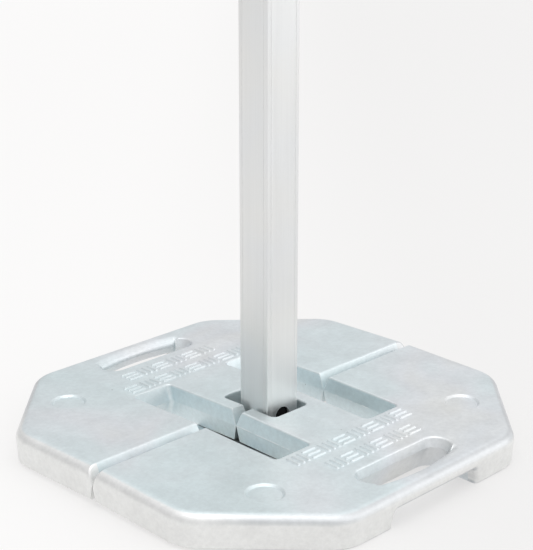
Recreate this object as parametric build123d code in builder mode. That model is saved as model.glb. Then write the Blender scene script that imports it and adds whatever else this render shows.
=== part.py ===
"""Ballast base: two cast halves that slide together round a square post and hold down its foot plate.

Millimetres, +Z up. The floor is z = 0, and the origin is on the floor at the middle of the base.
X runs along the straight split between the halves. The rear half is on the +Y side.
"""

from build123d import *
import math
import os

# Whole base
SIDE = 430.0  # across the flats, both ways
THICK = 31.5  # of one casting
CORNER_CUT = 100.0  # length along each side that the cut corner takes
PLAN_ROUND = 42.0  # rounding of the outline's corners
SIDE_DRAFT = 2.5  # degrees: the outer sides draw in towards the floor
TOP_ROUND = 10.0  # outer top edge
BOTTOM_CHAMFER = 1.2  # outer bottom edge
RIM_ROUND = 2.0  # top edges along the split, the slots and the post opening
TILT = 1.12  # degrees: each half leans on the foot plate, its outer edge on the floor

# Faces towards the split are drafted up and down from the parting line at mid height
SPLIT_GAP = 0.15  # between the parting line and the split plane
SPLIT_DRAFT = 6.4  # set back at the top
SPLIT_DRAFT_BELOW = 4.0  # and at the bottom
BLANK_BACK = 5.0  # the uncut casting runs this far past the split plane

# Slots on each side of the post, running across the split
SLOT_INNER = 38.0  # from the middle of the base
SLOT_OUTER = 84.0
SLOT_REACH = 98.0  # from the split to the slot's end
SLOT_DRAFT = 1.2
SLOT_CORNER = 4.0

# Opening for the post
OPENING_X = 47.0
OPENING_Y = 70.5
OPENING_CORNER = 5.0

# Handle: a slot through the plate, narrowest at its waist, and a finger recess under the bar that it leaves
HANDLE_AT = 175.5  # from the split to the middle of the slot
HANDLE_WAIST = 22.5  # height above the casting's underside
HANDLE_LENGTH = 109.0  # at the waist
HANDLE_WIDTH = 24.0
HANDLE_CORNER = 11.5
HANDLE_FLARE = (4.5, 3.3)  # how far the sides along X and Y have moved out at the top
HANDLE_FLARE_BELOW = (6.0, 8.5)  # and at the bottom
HANDLE_RIM = 2.0
BAR_THICK = 15.5

# The bar's inner side bows outwards, and has a round top for the hand
BOW_AT = 193.7  # from the split, in the middle
BOW_RADIUS = 212.0
BOW_HALF_LENGTH = 50.0
BOW_FLARE_BELOW = 6.0
BOW_TOP_ROUND = 9.1
BOW_END_ROUND = 8.0  # seen from above, where the bow ends beside the end of the slot
BOW_REACH = 12.0  # how far the cutting shape runs back into the slot

# Finger recess
RECESS_INSET = 1.0  # the recess is this much shorter at each end than the slot below its waist
RECESS_CORNER = 4.0
RECESS_ROUND = 4.5  # of the recess's mouth, and so of the bar's outer lower edge

# Round marks in the corners
MARK_AT = 134.5
MARK_RADIUS = 17.3
MARK_DEPTH = 2.1
MARK_SLOPE = 48.0  # degrees, of the mark's wall
MARK_ROUND = 1.2

# Raised anti-slip bars: two rows of squares, three bars to a square, lying along and across by turns
GRIP_ROWS = ((111.5, 8), (139.5, 6))  # distance from the split, squares in the row
GRIP_PITCH = 20.0
GRIP_LENGTH = 17.5
GRIP_WIDTH = 3.8
GRIP_SPACING = 6.6
GRIP_HEIGHT = 1.5
GRIP_SLOPE = 38.0

# Post: square extruded tube with a fine groove beside each corner
POST_SIDE = 39.0
POST_WALL = 2.2
POST_CORNER = 1.2
POST_TOP = 500.0
POST_Y = -5.0  # the post stands off centre in its opening
POST_TURN = -3.5  # degrees: and a little turned
GROOVE_AT = 14.8  # from the middle of a face
GROOVE_WIDTH = 1.0
GROOVE_DEPTH = 0.2
HOLE_RADIUS = 8.5  # round hole in the front face
HOLE_HEIGHT = 27.0

# Foot plate, thin enough for both halves to lean on its edges
PLATE_SIDE = 122.0
PLATE_THICK = 2.7
PLATE_CORNER = 10.0
PEG_HOLE_SPACING = 100.0
PEG_HOLE_RADIUS = 5.5

# Moulded plug in the post's lower end, and the screw that holds the plate to it
PLUG_TOP = 46.0
PLUG_PLAY = 0.15
PLUG_FLANGE = 2.5
PLUG_POCKET_RADIUS = 10.0
PLUG_CHAMFER = 1.5
NUT_SEAT = 18.0
SCREW_RADIUS = 4.0
SCREW_PLAY = 0.2
SCREW_SINK = 0.4  # the head stays this far above the floor
HEAD_RADIUS = 7.0
HEAD_CONE = 90.0
SOCKET_FLATS = 5.0
SOCKET_DEPTH = 2.2
WASHER_RADIUS = 8.0
WASHER_THICK = 1.6
NUT_FLATS = 13.0
NUT_HEIGHT = 6.5
NUT_CHAMFER = 0.6
THREAD_PLAY = 0.05
SCREW_PAST_NUT = 3.0

HALF = SIDE / 2
PARTING = THICK / 2
LEAN = math.radians(TILT)
PAST = 1.0  # how far a cutting shape runs past the face it cuts


def save(built, name, place=Location()):
    """Labels a finished piece, puts it in its place and writes its STEP file."""
    placed = place * built.part
    placed.label = name
    export_step(placed, f"parts/{name}.step")


def waisted_cut(middle, width, length, corner, waist, above, below):
    """Cuts a rounded rectangular hole that is narrowest at the waist height.

    Width, length and corner are those at the waist. The last two say how far the sides along
    X and Y have moved out at the top and at the bottom of the casting.
    """
    for face, end, flare in ((THICK, THICK + PAST, above), (0, -PAST, below)):
        out_x, out_y = (side * (end - waist) / (face - waist) for side in flare)
        with BuildSketch(Plane.XY.offset(waist)) as neck:
            with Locations(middle):
                RectangleRounded(width, length, corner)
        with BuildSketch(Plane.XY.offset(end)) as mouth:
            with Locations(middle):
                RectangleRounded(width + 2 * out_x, length + 2 * out_y, corner + min(out_x, out_y))
        loft(sections=[neck.sketch.face(), mouth.sketch.face()], mode=Mode.SUBTRACT)


def recess_reach(height):
    """Half the finger recess's length at a height."""
    slot_end = HANDLE_LENGTH / 2 + HANDLE_FLARE_BELOW[0] * (HANDLE_WAIST - height) / HANDLE_WAIST
    return slot_end - RECESS_INSET


def at_height(height):
    """A test for edges that lie wholly at one height."""
    return lambda edge: all(abs(v.Z - height) < 0.01 for v in edge.vertices())


def beyond(distance):
    """A test for edges and vertices further from the split than a distance."""
    return lambda shape: shape.center().Y > distance


def round_handle(edge):
    """A test for edges around the handle slot."""
    at = edge.center()
    reach_x = HANDLE_LENGTH / 2 + HANDLE_FLARE[0] + PAST
    reach_y = HANDLE_WIDTH / 2 + HANDLE_FLARE[1] + PAST
    return abs(at.X) < reach_x and abs(at.Y - HANDLE_AT) < reach_y


def round_recess_mouth(edge):
    """A test for edges where the finger recess meets the outer side, above the bottom chamfer."""
    at = edge.center()
    in_recess = abs(at.X) < recess_reach(0) + PAST and BOTTOM_CHAMFER + 0.1 < at.Z < THICK - BAR_THICK + 0.1
    return in_recess and at.Y > HALF - SIDE_DRAFT


os.makedirs("parts", exist_ok=True)

# One casting, lying flat on the +Y side of the split
with BuildPart() as casting:
    with BuildSketch(Plane.XY.offset(THICK)):
        with BuildLine():
            Polyline(
                (-HALF, -BLANK_BACK),
                (-HALF, HALF - CORNER_CUT),
                (-HALF + CORNER_CUT, HALF),
                (HALF - CORNER_CUT, HALF),
                (HALF, HALF - CORNER_CUT),
                (HALF, -BLANK_BACK),
                close=True,
            )
        make_face()
        fillet(vertices().filter_by(beyond(0)), PLAN_ROUND)
    extrude(amount=-THICK, taper=SIDE_DRAFT)
    fillet(edges().filter_by(at_height(THICK)).filter_by(beyond(0)), TOP_ROUND)
    chamfer(edges().filter_by(at_height(0)).filter_by(beyond(0)), BOTTOM_CHAMFER)

    # Draft of the split face, above and below the parting line
    for rim, draft in ((THICK, SPLIT_DRAFT), (0, SPLIT_DRAFT_BELOW)):
        with BuildSketch(Plane.YZ.offset(-HALF - PAST)):
            with BuildLine():
                Polyline(
                    (-BLANK_BACK - PAST, PARTING),
                    (SPLIT_GAP, PARTING),
                    (SPLIT_GAP + draft, rim),
                    (-BLANK_BACK - PAST, rim),
                    close=True,
                )
            make_face()
        extrude(amount=SIDE + 2 * PAST, mode=Mode.SUBTRACT)

    # Slots and post opening
    slot_width = SLOT_OUTER - SLOT_INNER - 2 * SLOT_DRAFT
    slot_length = 2 * (SLOT_REACH - SPLIT_DRAFT)
    slot_flare = (SLOT_DRAFT, SPLIT_DRAFT)
    for side in (-1, 1):
        slot_middle = (side * (SLOT_INNER + SLOT_OUTER) / 2, 0)
        waisted_cut(slot_middle, slot_width, slot_length, SLOT_CORNER, PARTING, slot_flare, slot_flare)
    opening_x = OPENING_X - 2 * SLOT_DRAFT
    opening_y = OPENING_Y - 2 * SLOT_DRAFT
    opening_flare = (SLOT_DRAFT, SLOT_DRAFT)
    waisted_cut((0, 0), opening_x, opening_y, OPENING_CORNER, PARTING, opening_flare, opening_flare)
    rims = edges().filter_by(at_height(THICK))
    fillet(rims - rims.filter_by(beyond(SLOT_REACH + PAST)), RIM_ROUND)

    # Handle slot
    waisted_cut(
        (0, HANDLE_AT),
        HANDLE_LENGTH,
        HANDLE_WIDTH,
        HANDLE_CORNER,
        HANDLE_WAIST,
        HANDLE_FLARE,
        HANDLE_FLARE_BELOW,
    )
    fillet(edges().filter_by(at_height(THICK)).filter_by(round_handle), HANDLE_RIM)

    # Bowed inner side of the bar, turned about an upright axis
    bow_axis = Axis((0, BOW_AT - BOW_RADIUS, 0), (0, 0, 1))
    bow_angle = math.asin(BOW_HALF_LENGTH / BOW_RADIUS)
    bow_plane = Plane(
        origin=bow_axis.position,
        x_dir=(math.sin(bow_angle), math.cos(bow_angle), 0),
        z_dir=(math.cos(bow_angle), -math.sin(bow_angle), 0),
    )
    bow_foot = BOW_RADIUS + BOW_FLARE_BELOW * (1 + PAST / HANDLE_WAIST)
    bow_top = (BOW_RADIUS + BOW_TOP_ROUND, HANDLE_WAIST + BOW_TOP_ROUND)
    with BuildSketch(bow_plane):
        with BuildLine():
            RadiusArc((BOW_RADIUS, HANDLE_WAIST), bow_top, BOW_TOP_ROUND)
            Polyline(
                bow_top,
                (bow_top[0], THICK + PAST),
                (BOW_RADIUS - BOW_REACH, THICK + PAST),
                (BOW_RADIUS - BOW_REACH, -PAST),
                (bow_foot, -PAST),
                (BOW_RADIUS, HANDLE_WAIST),
            )
        make_face()
    revolve(axis=bow_axis, revolution_arc=math.degrees(2 * bow_angle), mode=Mode.SUBTRACT)

    # The bow's ends turn in to the ends of the slot
    end_radius = BOW_RADIUS + BOW_TOP_ROUND - BOW_END_ROUND
    end_height = HANDLE_WAIST + math.sqrt(BOW_TOP_ROUND**2 - BOW_END_ROUND**2)
    for side in (-1, 1):
        along = (side * math.sin(bow_angle), math.cos(bow_angle), 0)
        across = (math.cos(bow_angle), -side * math.sin(bow_angle), 0)
        end_axis = Axis(
            (end_radius * along[0], BOW_AT - BOW_RADIUS + end_radius * along[1], 0),
            (0, 0, -side),
        )
        with BuildSketch(Plane(origin=bow_axis.position, x_dir=along, z_dir=across)):
            with BuildLine():
                RadiusArc((end_radius, end_height), bow_top, BOW_TOP_ROUND)
                Polyline(
                    bow_top,
                    (bow_top[0], THICK + PAST),
                    (end_radius, THICK + PAST),
                    (end_radius, end_height),
                )
            make_face()
        revolve(axis=end_axis, revolution_arc=180, mode=Mode.SUBTRACT)

    # Finger recess under the bar, its flanks sloping as the slot's ends do
    recess_top = THICK - BAR_THICK
    with BuildSketch(Plane.XZ.offset(-HANDLE_AT)):
        with BuildLine():
            Polyline(
                (-recess_reach(-PAST), -PAST),
                (recess_reach(-PAST), -PAST),
                (recess_reach(recess_top), recess_top),
                (-recess_reach(recess_top), recess_top),
                close=True,
            )
        make_face()
        fillet(vertices().group_by(Axis.Z)[-1], RECESS_CORNER)
    extrude(amount=HANDLE_AT - HALF - PAST, mode=Mode.SUBTRACT)
    fillet(edges().filter_by(round_recess_mouth), RECESS_ROUND)

    # Round marks
    with BuildSketch(Plane.XY.offset(THICK)):
        with Locations((-MARK_AT, MARK_AT), (MARK_AT, MARK_AT)):
            Circle(MARK_RADIUS)
    extrude(amount=-MARK_DEPTH, taper=MARK_SLOPE, mode=Mode.SUBTRACT)
    mark_rims = edges().filter_by(GeomType.CIRCLE).filter_by(at_height(THICK))
    fillet(mark_rims.filter_by(lambda e: abs(e.radius - MARK_RADIUS) < 0.01), MARK_ROUND)

    # Raised bars
    for row, squares in GRIP_ROWS:
        for place in range(squares):
            x = (place - (squares - 1) / 2) * GRIP_PITCH
            with BuildSketch(Plane.XY.offset(THICK)):
                with Locations(Location((x, row), 90 * (place % 2))):
                    with GridLocations(0, GRIP_SPACING, 1, 3):
                        SlotOverall(GRIP_LENGTH, GRIP_WIDTH)
            extrude(amount=GRIP_HEIGHT, taper=GRIP_SLOPE)

# Both halves are this casting. It leans inwards, and its parting line stays at the split.
drop = (THICK * math.tan(math.radians(SIDE_DRAFT)) + BOTTOM_CHAMFER) * math.sin(LEAN)
closing = HALF * (1 - math.cos(LEAN)) + PARTING * math.sin(LEAN)
leaning = Location((0, HALF - closing, -drop), (-TILT, 0, 0)) * Location((0, -HALF, 0))
for name, turn in (("rear_half", 0), ("front_half", 180)):
    with BuildPart() as half:
        with Locations(Location((0, 0, 0), (0, 0, turn)) * leaning):
            add(casting.part)
    save(half, name)

# Square post, open at both ends
upright = Location((0, POST_Y, 0))
turned = Location((0, POST_Y, 0), (0, 0, POST_TURN))
plug_shoulder = PLATE_THICK + PLUG_FLANGE
post_inside = POST_SIDE - 2 * POST_WALL
with BuildPart() as post_tube:
    with BuildSketch(Plane.XY.offset(plug_shoulder)):
        RectangleRounded(POST_SIDE, POST_SIDE, POST_CORNER)
        Rectangle(post_inside, post_inside, mode=Mode.SUBTRACT)
        with PolarLocations(POST_SIDE / 2, 4):
            with Locations((0, -GROOVE_AT), (0, GROOVE_AT)):
                Rectangle(2 * GROOVE_DEPTH, GROOVE_WIDTH, mode=Mode.SUBTRACT)
    extrude(amount=POST_TOP - plug_shoulder)
    with BuildSketch(Plane.XZ.offset(POST_SIDE / 2)):
        with Locations((0, HOLE_HEIGHT)):
            Circle(HOLE_RADIUS)
    extrude(amount=-2 * POST_WALL, mode=Mode.SUBTRACT)
save(post_tube, "post_tube", turned)

# Foot plate, with a countersunk hole under the post and a peg hole in each corner
facing_down = Location((0, 0, 0), (180, 0, 0))
with BuildPart() as foot_plate:
    with BuildSketch():
        RectangleRounded(PLATE_SIDE, PLATE_SIDE, PLATE_CORNER)
        with GridLocations(PEG_HOLE_SPACING, PEG_HOLE_SPACING, 2, 2):
            Circle(PEG_HOLE_RADIUS, mode=Mode.SUBTRACT)
    extrude(amount=PLATE_THICK)
    with Locations(facing_down):
        CounterSinkHole(SCREW_RADIUS + SCREW_PLAY, HEAD_RADIUS + SCREW_PLAY, PLUG_TOP, HEAD_CONE)
save(foot_plate, "foot_plate", upright)

# Plug: a flange under the post's end, a body inside it and a round pocket for the nut
with BuildPart() as foot_plug:
    with BuildSketch(Plane.XY.offset(PLATE_THICK)):
        RectangleRounded(POST_SIDE, POST_SIDE, POST_CORNER)
    extrude(amount=PLUG_FLANGE)
    with BuildSketch(Plane.XY.offset(plug_shoulder)):
        Rectangle(post_inside - 2 * PLUG_PLAY, post_inside - 2 * PLUG_PLAY)
    extrude(amount=PLUG_TOP - plug_shoulder)
    chamfer(faces().sort_by(Axis.Z)[-1].edges(), PLUG_CHAMFER)
    with BuildSketch(Plane.XY.offset(NUT_SEAT)):
        Circle(PLUG_POCKET_RADIUS)
    extrude(amount=PLUG_TOP, mode=Mode.SUBTRACT)
    with Locations(facing_down):
        CounterSinkHole(SCREW_RADIUS + SCREW_PLAY, HEAD_RADIUS + SCREW_PLAY, PLUG_TOP, HEAD_CONE)
save(foot_plug, "foot_plug", turned)

# Washer and nut on the plug's seat
with BuildPart() as foot_washer:
    with BuildSketch(Plane.XY.offset(NUT_SEAT)):
        Circle(WASHER_RADIUS)
        Circle(SCREW_RADIUS + SCREW_PLAY, mode=Mode.SUBTRACT)
    extrude(amount=WASHER_THICK)
save(foot_washer, "foot_washer", upright)

nut_bottom = NUT_SEAT + WASHER_THICK
with BuildPart() as foot_nut:
    with BuildSketch(Plane.XY.offset(nut_bottom)):
        RegularPolygon(NUT_FLATS / 2, 6, major_radius=False)
        Circle(SCREW_RADIUS + THREAD_PLAY, mode=Mode.SUBTRACT)
    extrude(amount=NUT_HEIGHT)
    hexagons = edges().filter_by(GeomType.LINE).filter_by(lambda e: abs(e.tangent_at(0.5).Z) < 0.5)
    chamfer(hexagons, NUT_CHAMFER)
save(foot_nut, "foot_nut", upright)

# Countersunk screw, driven from below
screw_top = nut_bottom + NUT_HEIGHT + SCREW_PAST_NUT
with BuildPart() as foot_screw:
    with BuildSketch(Plane.XZ):
        with BuildLine():
            Polyline(
                (0, SCREW_SINK),
                (HEAD_RADIUS - SCREW_SINK, SCREW_SINK),
                (SCREW_RADIUS, HEAD_RADIUS - SCREW_RADIUS),
                (SCREW_RADIUS, screw_top),
                (0, screw_top),
                close=True,
            )
        make_face()
    revolve(axis=Axis.Z)
    chamfer(edges().filter_by(GeomType.CIRCLE).sort_by(Axis.Z)[-1], NUT_CHAMFER)
    with BuildSketch(Plane.XY.offset(SCREW_SINK)):
        RegularPolygon(SOCKET_FLATS / 2, 6, major_radius=False)
    extrude(amount=SOCKET_DEPTH, mode=Mode.SUBTRACT)
save(foot_screw, "foot_screw", upright)
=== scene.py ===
"""Looks for the two-part ballast base and its post. Metres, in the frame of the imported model.

X runs along the split, the rear half is on the +Y side, Z is up, and the floor is z = 0.
"""

import math

import bpy
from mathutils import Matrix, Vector

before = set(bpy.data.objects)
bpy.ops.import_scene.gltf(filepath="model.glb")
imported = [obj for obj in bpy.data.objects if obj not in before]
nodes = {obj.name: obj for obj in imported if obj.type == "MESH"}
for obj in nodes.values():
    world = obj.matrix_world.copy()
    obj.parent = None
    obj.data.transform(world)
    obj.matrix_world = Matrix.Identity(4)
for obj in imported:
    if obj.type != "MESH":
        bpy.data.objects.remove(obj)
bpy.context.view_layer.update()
MM = 0.001


# ---------------------------------------------------------------- node helpers
class Tree:
    """A small helper to write node trees as expressions."""

    def __init__(self, owner):
        self.tree = owner.node_tree
        self.tree.nodes.clear()

    def node(self, kind, **settings):
        made = self.tree.nodes.new(kind)
        for key, value in settings.items():
            setattr(made, key, value)
        return made

    def feed(self, socket, value):
        if isinstance(value, bpy.types.NodeSocket):
            self.tree.links.new(value, socket)
        elif value is not None:
            socket.default_value = value

    def math(self, operation, a, b=None):
        made = self.node("ShaderNodeMath", operation=operation)
        self.feed(made.inputs[0], a)
        self.feed(made.inputs[1], b)
        return made.outputs[0]

    def along(self, vector, direction):
        made = self.node("ShaderNodeVectorMath", operation="DOT_PRODUCT")
        self.feed(made.inputs[0], vector)
        self.feed(made.inputs[1], direction)
        return made.outputs["Value"]

    def split(self, vector):
        made = self.node("ShaderNodeSeparateXYZ")
        self.feed(made.inputs[0], vector)
        return made.outputs

    def product(self, *factors):
        """All the factors multiplied together."""
        result = factors[0]
        for factor in factors[1:]:
            result = self.math("MULTIPLY", result, factor)
        return result

    def without(self, value, mask, share):
        """The value, less that share of it where the mask is 1."""
        return self.product(value, self.math("SUBTRACT", 1.0, self.product(mask, share)))

    def coordinate(self, kind):
        return self.node("ShaderNodeTexCoord").outputs[kind]

    def noise(self, vector, scale, detail=2.0, roughness=0.5, distortion=0.0):
        made = self.node("ShaderNodeTexNoise")
        self.feed(made.inputs["Vector"], vector)
        made.inputs["Scale"].default_value = scale
        made.inputs["Detail"].default_value = detail
        made.inputs["Roughness"].default_value = roughness
        made.inputs["Distortion"].default_value = distortion
        return made.outputs[0]

    def cells(self, vector, scale):
        made = self.node("ShaderNodeTexVoronoi")
        self.feed(made.inputs["Vector"], vector)
        made.inputs["Scale"].default_value = scale
        return made.outputs["Distance"]

    def stretch(self, vector, scale):
        made = self.node("ShaderNodeMapping")
        self.feed(made.inputs["Vector"], vector)
        made.inputs["Scale"].default_value = scale
        return made.outputs[0]

    def span(self, value, low, high, to_low=0.0, to_high=1.0, smooth=False):
        made = self.node("ShaderNodeMapRange", clamp=True)
        made.interpolation_type = "SMOOTHSTEP" if smooth else "LINEAR"
        for place, item in enumerate((value, low, high, to_low, to_high)):
            self.feed(made.inputs[place], item)
        return made.outputs[0]

    def ramp(self, value, stops):
        made = self.node("ShaderNodeValToRGB")
        elements = made.color_ramp.elements
        while len(elements) < len(stops):
            elements.new(1.0)
        for element, (at, colour) in zip(elements, stops):
            element.position = at
            element.color = (*colour, 1.0)
        self.feed(made.inputs[0], value)
        return made.outputs[0]

    def mix(self, amount, a, b):
        made = self.node("ShaderNodeMix", data_type="RGBA")
        self.feed(made.inputs[0], amount)
        for socket, value in ((made.inputs[6], a), (made.inputs[7], b)):
            self.feed(socket, (*value, 1.0) if isinstance(value, tuple) else value)
        return made.outputs[2]

    def scaled(self, colour, factor):
        made = self.node("ShaderNodeVectorMath", operation="SCALE")
        self.feed(made.inputs[0], colour)
        self.feed(made.inputs["Scale"], factor)
        return made.outputs[0]

    def near(self, distance, inside):
        """1 on open surface, less within that distance of a convex edge (inside) or of a corner or wall."""
        made = self.node("ShaderNodeAmbientOcclusion", inside=inside, only_local=True, samples=8)
        made.inputs["Distance"].default_value = distance
        return made.outputs["AO"]

    def worn_edge(self, distance, low=0.5, high=0.9):
        """1 on convex edges, falling to 0 at about that distance from them."""
        return self.span(self.near(distance, True), low, high, 1.0, 0.0)

    def softened(self, radius):
        """The normal, with convex and concave edges rounded by that radius."""
        made = self.node("ShaderNodeBevel", samples=4)
        made.inputs["Radius"].default_value = radius
        return made.outputs[0]

    def bump(self, height, distance, strength, normal=None):
        made = self.node("ShaderNodeBump")
        made.inputs["Strength"].default_value = strength
        made.inputs["Distance"].default_value = distance
        self.feed(made.inputs["Height"], height)
        if normal is not None:
            self.feed(made.inputs["Normal"], normal)
        return made.outputs[0]


def surface(name, metallic, specular=0.5):
    """A new material: the material, its tree, its object coordinates and its shader."""
    made = bpy.data.materials.new(name)
    made.use_nodes = True
    tree = Tree(made)
    shader = tree.node("ShaderNodeBsdfPrincipled")
    shader.inputs["Metallic"].default_value = metallic
    shader.inputs["Specular IOR Level"].default_value = specular
    out = tree.node("ShaderNodeOutputMaterial")
    tree.tree.links.new(shader.outputs[0], out.inputs[0])
    return made, tree, tree.coordinate("Object"), shader


def paint(node, material):
    """Gives a CAD node one material."""
    slots = nodes[node].material_slots
    if not slots:
        nodes[node].data.materials.append(material)
    for slot in slots:
        slot.material = material


# ---------------------------------------------------------------- cast halves, zinc plated
LEAN = math.radians(1.12)
HALF = 215 * MM
PARTING = 15.75 * MM  # height of the parting line

# Zones of the casting: x from its middle, y from the split
OUTER_SIDES = 203 * MM  # the larger of |x| and |y|
CUT_CORNERS = 314 * MM  # |x| + |y|
SLOTS_X = 90 * MM
SLOTS_Y = 101 * MM  # the grip pattern begins here
GRIPS_X = 85 * MM
GRIPS_Y = 149 * MM
LEFT_FROM = -165 * MM  # the painted lighter colour of the left rounding fades in over these two
LEFT_FULL = -205 * MM

# Coats of zinc, and painted light and shade for the slot walls, sides, roundings and corners
TINTS = (
    (0.36, (0.685, 0.762, 0.775)),
    (0.50, (0.712, 0.770, 0.785)),
    (0.60, (0.738, 0.762, 0.782)),
    (0.70, (0.755, 0.762, 0.752)),
)
TINT_DRIFT = 0.35  # towards the straw end, per metre of x
SLOT_WALL_PAINTED_LIGHT = (0.78, 0.87, 0.895)
SIDE_PAINTED_LIGHT = (0.835, 0.84, 0.83)
ROUNDING_PAINTED_LIGHT_LEFT = (0.83, 0.83, 0.82)
ROUNDING_PAINTED_SHADE = (0.65, 0.665, 0.675)
CORNER_PAINTED_SHADE = (0.56, 0.68, 0.71)
WORN = (0.93, 0.94, 0.95)
PINHOLE = (0.30, 0.31, 0.32)
FLASH = (0.95, 0.96, 0.97)
FLASH_REAR = 0.15  # share of the flash that is left on the rear half


def zinc(name, side):
    """Cast iron with a bright zinc coat. side is 1 for the rear half and -1 for the front half."""
    made, t, at, shader = surface(name, 1.0)
    x, y, z = t.split(at)
    up = t.split(t.coordinate("Normal"))[2]
    level = t.span(up, 0.85, 0.985, smooth=True)
    upright = t.span(t.math("ABSOLUTE", up), 0.15, 0.5, 1.0, 0.0)

    # Zones: outer sides with their rounding, slot walls, grip pattern
    across = t.product(y, float(side))
    abs_x = t.math("ABSOLUTE", x)
    abs_y = t.math("ABSOLUTE", y)
    outer = t.math("GREATER_THAN", t.math("MAXIMUM", abs_x, abs_y), OUTER_SIDES)
    outer = t.math("MAXIMUM", outer, t.math("GREATER_THAN", t.math("ADD", abs_x, abs_y), CUT_CORNERS))
    outer = t.product(outer, t.math("SUBTRACT", 1.0, level))
    slots = t.product(t.math("LESS_THAN", abs_x, SLOTS_X), t.math("LESS_THAN", across, SLOTS_Y), upright)
    grips = t.product(
        t.math("LESS_THAN", abs_x, GRIPS_X),
        t.math("LESS_THAN", across, GRIPS_Y),
        t.math("GREATER_THAN", across, SLOTS_Y),
    )

    # Plating tints, drifting from blue-green to lavender and straw over a hand's width
    drift = t.noise(at, 5.5, 2.0, 0.5, 0.6)
    drift = t.math("ADD", drift, t.product(x, TINT_DRIFT))
    tint = t.ramp(drift, TINTS)
    cloud = t.noise(at, 42.0, 3.0, 0.55)
    grain = t.noise(at, 900.0, 2.0, 0.6)
    speckle = t.noise(at, 330.0, 2.0, 0.6)
    frost = t.noise(at, 190.0, 3.0, 0.65)
    light = t.product(
        t.span(cloud, 0.3, 0.7, 0.965, 1.03),
        t.span(speckle, 0.3, 0.7, 0.975, 1.02),
        t.span(frost, 0.35, 0.65, 0.97, 1.025),
    )
    colour = t.scaled(tint, light)
    # Painted light and shade: the slot walls take a lighter, blue-green copy of the zinc
    colour = t.mix(slots, colour, t.scaled(SLOT_WALL_PAINTED_LIGHT, light))
    # Painted light and shade: the outer sides are lighter, the left rounding lighter and the rest of the
    # rounding darker
    rounding = t.mix(t.span(x, LEFT_FULL, LEFT_FROM, smooth=True), ROUNDING_PAINTED_LIGHT_LEFT, ROUNDING_PAINTED_SHADE)
    colour = t.mix(outer, colour, t.scaled(t.mix(upright, rounding, SIDE_PAINTED_LIGHT), light))

    # Painted shade: corners and faces near a wall are darker and bluer, and handled edges are brighter
    edge = t.worn_edge(2.4 * MM, 0.55, 0.95)
    edge = t.product(edge, t.span(t.noise(at, 160.0, 3.0, 0.65), 0.38, 0.6, 0.15, 1.0))
    edge = t.without(edge, grips, 0.75)
    edge = t.without(edge, outer, 0.75)
    # painted shade within 9 mm of a corner or wall
    corner = t.span(t.near(9 * MM, False), 0.45, 0.9, 1.0, 0.0)
    colour = t.mix(t.product(corner, 0.25), colour, CORNER_PAINTED_SHADE)
    colour = t.mix(t.product(edge, 0.55), colour, WORN)

    # Small dark pinholes, a few to a side
    holes = t.span(t.cells(at, 26.0), 0.018, 0.032, 1.0, 0.0)
    colour = t.mix(t.product(holes, 0.5), colour, PINHOLE)

    # Broken moulding flash in the slots, along the parting line of the leaning casting
    height = t.math("ADD", t.product(across, math.sin(LEAN)), t.product(z, math.cos(LEAN)))
    height = t.math("SUBTRACT", height, HALF * math.sin(LEAN) + PARTING)
    flash = t.span(t.math("ABSOLUTE", height), 0.15 * MM, 0.6 * MM, 1.0, 0.0, smooth=True)
    broken = t.math("ADD", t.noise(at, 70.0, 2.0, 0.6), t.product(x, -1.2))
    flash = t.product(flash, slots, t.span(broken, 0.42, 0.5))
    if side > 0:
        flash = t.product(flash, FLASH_REAR)
    colour = t.mix(t.product(flash, 0.7), colour, FLASH)
    t.feed(shader.inputs["Base Color"], colour)

    rough = t.span(cloud, 0.3, 0.7, 0.42, 0.50)
    rough = t.math("ADD", rough, t.span(speckle, 0.3, 0.7, -0.03, 0.03))
    rough = t.math("SUBTRACT", rough, t.product(edge, 0.05))
    rough = t.math("ADD", rough, t.product(grips, 0.07))
    t.feed(shader.inputs["Roughness"], rough)

    # Blasted grain, weaker on the top face
    depth = t.product(grain, t.span(level, 0.0, 1.0, 1.0, 0.35))
    depth = t.math("ADD", depth, t.product(frost, t.span(level, 0.0, 1.0, 1.9, 0.4)))
    for texture, weight in ((speckle, 0.6), (holes, -4.0), (flash, 8.0)):
        depth = t.math("ADD", depth, t.product(texture, weight))
    t.feed(shader.inputs["Normal"], t.bump(depth, 0.05 * MM, 0.8, t.softened(0.5 * MM)))
    return made


paint("rear_half", zinc("zinc_rear", 1))
paint("front_half", zinc("zinc_front", -1))


# ---------------------------------------------------------------- post, anodised extrusion
def aluminium():
    """Extruded and anodised, with fine lines along the post."""
    made, t, at, shader = surface("anodised_post", 1.0)
    lines = t.noise(t.stretch(at, (1.0, 1.0, 0.012)), 700.0, 3.0, 0.6)
    broad = t.noise(t.stretch(at, (1.0, 1.0, 0.05)), 90.0, 2.0, 0.5)
    cloud = t.noise(at, 12.0, 2.0, 0.5)
    colour = t.mix(t.span(cloud, 0.35, 0.65), (0.80, 0.80, 0.785), (0.785, 0.795, 0.80))
    light = t.product(t.span(lines, 0.3, 0.7, 0.975, 1.02), t.span(broad, 0.3, 0.7, 0.98, 1.015))
    colour = t.scaled(colour, light)
    colour = t.mix(t.product(t.worn_edge(1.2 * MM), 0.5), colour, (0.90, 0.90, 0.90))
    t.feed(shader.inputs["Base Color"], colour)
    rough = t.math("ADD", t.span(lines, 0.3, 0.7, 0.40, 0.50), t.span(cloud, 0.3, 0.7, -0.02, 0.02))
    t.feed(shader.inputs["Roughness"], rough)
    depth = t.math("ADD", lines, t.product(t.noise(at, 1200.0, 1.0), 0.4))
    t.feed(shader.inputs["Normal"], t.bump(depth, 0.012 * MM, 0.7, t.softened(0.4 * MM)))
    return made


paint("post_tube", aluminium())


# ---------------------------------------------------------------- plug, plate and fixings
POST_Y = -5 * MM  # the post's axis stands off the split


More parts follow.
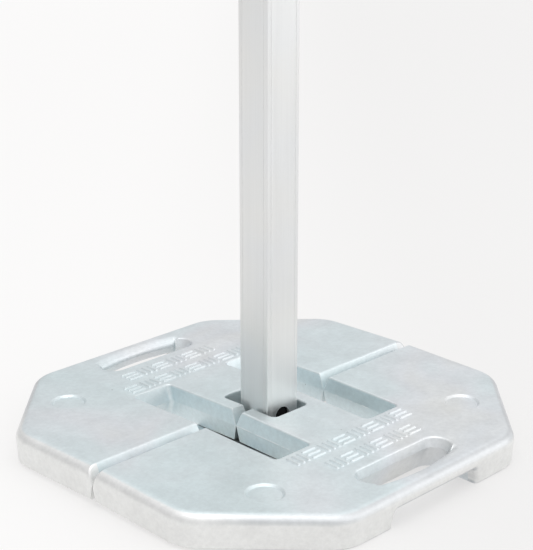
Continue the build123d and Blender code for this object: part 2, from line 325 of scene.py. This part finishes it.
def plastic():
    """Black moulding with a fine grain."""
    made, t, at, shader = surface("moulded_black", 0.0, 0.2)
    grain = t.noise(at, 1400.0, 2.0, 0.6)
    cloud = t.noise(at, 60.0, 2.0, 0.5)
    colour = t.mix(t.span(cloud, 0.35, 0.65), (0.003, 0.003, 0.003), (0.007, 0.007, 0.007))
    colour = t.mix(t.product(t.worn_edge(1.0 * MM), 0.5), colour, (0.03, 0.03, 0.03))
    t.feed(shader.inputs["Base Color"], colour)
    t.feed(shader.inputs["Roughness"], t.span(grain, 0.3, 0.7, 0.5, 0.68))
    t.feed(shader.inputs["Normal"], t.bump(grain, 0.04 * MM, 0.7))
    return made


def plated(name, turned):
    """Zinc-plated steel: sheet with lines along X, or turned parts with rings round the post's axis."""
    made, t, at, shader = surface(name, 1.0)
    if turned:
        x, y, z = t.split(at)
        y = t.math("SUBTRACT", y, POST_Y)
        rings = t.node("ShaderNodeCombineXYZ")
        t.feed(rings.inputs[0], t.math("SQRT", t.math("ADD", t.product(x, x), t.product(y, y))))
        t.feed(rings.inputs[2], z)
        lines = t.noise(rings.outputs[0], 1600.0, 2.0, 0.6)
    else:
        lines = t.noise(t.stretch(at, (0.02, 1.0, 1.0)), 900.0, 3.0, 0.6)
    cloud = t.noise(at, 30.0, 3.0, 0.55)
    colour = t.mix(t.span(cloud, 0.35, 0.65), (0.60, 0.66, 0.68), (0.70, 0.70, 0.66))
    colour = t.scaled(colour, t.span(lines, 0.3, 0.7, 0.93, 1.04))
    colour = t.mix(t.product(t.worn_edge(0.8 * MM), 0.5), colour, (0.85, 0.86, 0.86))
    scuff = t.span(t.noise(at, 75.0, 4.0, 0.7), 0.58, 0.72)
    colour = t.mix(t.product(scuff, 0.4), colour, (0.42, 0.42, 0.41))
    t.feed(shader.inputs["Base Color"], colour)
    rough = t.math("ADD", t.span(lines, 0.3, 0.7, 0.3, 0.42), t.product(scuff, 0.2))
    t.feed(shader.inputs["Roughness"], rough)
    t.feed(shader.inputs["Normal"], t.bump(lines, 0.02 * MM, 0.8))
    return made


paint("foot_plug", plastic())
paint("foot_plate", plated("plated_sheet", False))
fixing = plated("plated_fixing", True)
for fixing_node in ("foot_screw", "foot_washer", "foot_nut"):
    paint(fixing_node, fixing)


# ---------------------------------------------------------------- studio
# Directions as the camera sees them
RIGHT = (0.707, -0.707, 0.0)
NEARER = (-0.707, -0.707, 0.0)

FLOOR_REACH = 40.0
FLOOR_DROP = 0.1 * MM

# Glow of the floor and the sky
FLOOR_LEFT = 0.62
FLOOR_RIGHT = 0.55
FLOOR_NEAR_RIGHT = 0.02  # taken off
FLOOR_FAR = 0.035  # added
FLOOR_MIDDLE = 0.95  # share that is left
SKY_LEFT = 0.68
SKY_RIGHT = 0.88
SKY_HIGH = 0.32  # added


def floor():
    """A pale floor that glows a little, less under the middle of the base and to the near right."""
    mesh = bpy.data.meshes.new("floor")
    corners = [(-1, -1), (1, -1), (1, 1), (-1, 1)]
    mesh.from_pydata([(a * FLOOR_REACH, b * FLOOR_REACH, 0) for a, b in corners], [], [(0, 1, 2, 3)])
    made = bpy.data.objects.new("floor", mesh)
    bpy.context.scene.collection.objects.link(made)
    made.location.z = -FLOOR_DROP
    material = bpy.data.materials.new("floor")
    material.use_nodes = True
    t = Tree(material)
    shader = t.node("ShaderNodeBsdfPrincipled")
    shader.inputs["Roughness"].default_value = 0.9
    shader.inputs["Specular IOR Level"].default_value = 0.1
    shader.inputs["Base Color"].default_value = (0.30, 0.298, 0.295, 1)
    at = t.coordinate("Object")
    x, y = t.split(at)[:2]
    out = t.math("MAXIMUM", t.math("ABSOLUTE", x), t.math("ABSOLUTE", y))
    rightward = t.along(at, RIGHT)
    nearer = t.along(at, NEARER)
    glow = t.span(rightward, -0.25, 0.25, FLOOR_LEFT, FLOOR_RIGHT, smooth=True)
    near_right = t.product(t.span(rightward, 0.0, 0.2), t.span(nearer, -0.6, 0.4, 0.0, FLOOR_NEAR_RIGHT))
    glow = t.math("SUBTRACT", glow, near_right)
    glow = t.math("ADD", glow, t.span(out, 0.5, 2.5, 0.0, FLOOR_FAR))
    glow = t.product(glow, t.span(out, 0.10, 0.14, FLOOR_MIDDLE, 1.0, smooth=True))
    shader.inputs["Emission Color"].default_value = (1.0, 0.99, 0.985, 1)
    t.feed(shader.inputs["Emission Strength"], glow)
    surface_out = t.node("ShaderNodeOutputMaterial")
    t.tree.links.new(shader.outputs[0], surface_out.inputs[0])
    mesh.materials.append(material)
    return made


def softbox(name, place, target, size, radiance):
    """A square area light of a given size and brightness, aimed at a point."""
    lamp = bpy.data.lights.new(name, "AREA")
    lamp.shape = "SQUARE"
    lamp.size = size
    lamp.energy = radiance * math.pi * size * size
    made = bpy.data.objects.new(name, lamp)
    made.location = place
    made.rotation_mode = "QUATERNION"
    made.rotation_quaternion = (Vector(target) - Vector(place)).to_track_quat("-Z", "Y")
    bpy.context.scene.collection.objects.link(made)


floor()

world = bpy.data.worlds.new("studio")
bpy.context.scene.world = world
world.use_nodes = True
sky = Tree(world)
direction = sky.coordinate("Generated")
glow = sky.span(sky.along(direction, RIGHT), -1.0, 1.0, SKY_LEFT, SKY_RIGHT)
glow = sky.math("ADD", glow, sky.span(sky.split(direction)[2], 0.40, 0.85, 0.0, SKY_HIGH))
background = sky.node("ShaderNodeBackground")
background.inputs["Color"].default_value = (0.985, 0.99, 1.0, 1)
sky.feed(background.inputs["Strength"], glow)
sky_out = sky.node("ShaderNodeOutputWorld")
sky.tree.links.new(background.outputs[0], sky_out.inputs[0])

softbox("overhead", (-0.4, -0.4, 2.3), (0, 0, 0), 1.8, 1.0)
softbox("right", (2.0, -1.7, 0.9), (0, 0, 0.1), 1.5, 1.0)
softbox("front", (0.5, -2.2, 1.7), (0, 0, 0), 1.4, 0.8)

# ---------------------------------------------------------------- camera
CAMERA_AT = (-0.94025, -0.94214, 0.62325)
CAMERA_FORWARD = (0.66822, 0.66822, -0.32705)
CAMERA_LENS = 98.064
CAMERA_SENSOR = 36.0

camera = bpy.data.objects.new("camera", bpy.data.cameras.new("camera"))
bpy.context.scene.collection.objects.link(camera)
camera.location = CAMERA_AT
camera.rotation_mode = "QUATERNION"
camera.rotation_quaternion = Vector(CAMERA_FORWARD).to_track_quat("-Z", "Y")
camera.data.sensor_width = CAMERA_SENSOR
camera.data.lens = CAMERA_LENS
camera.data.clip_start = 0.05
camera.data.clip_end = 200.0
bpy.context.scene.camera = camera
bpy.context.scene.view_settings.view_transform = "Standard"
bpy.context.scene.view_settings.look = "None"
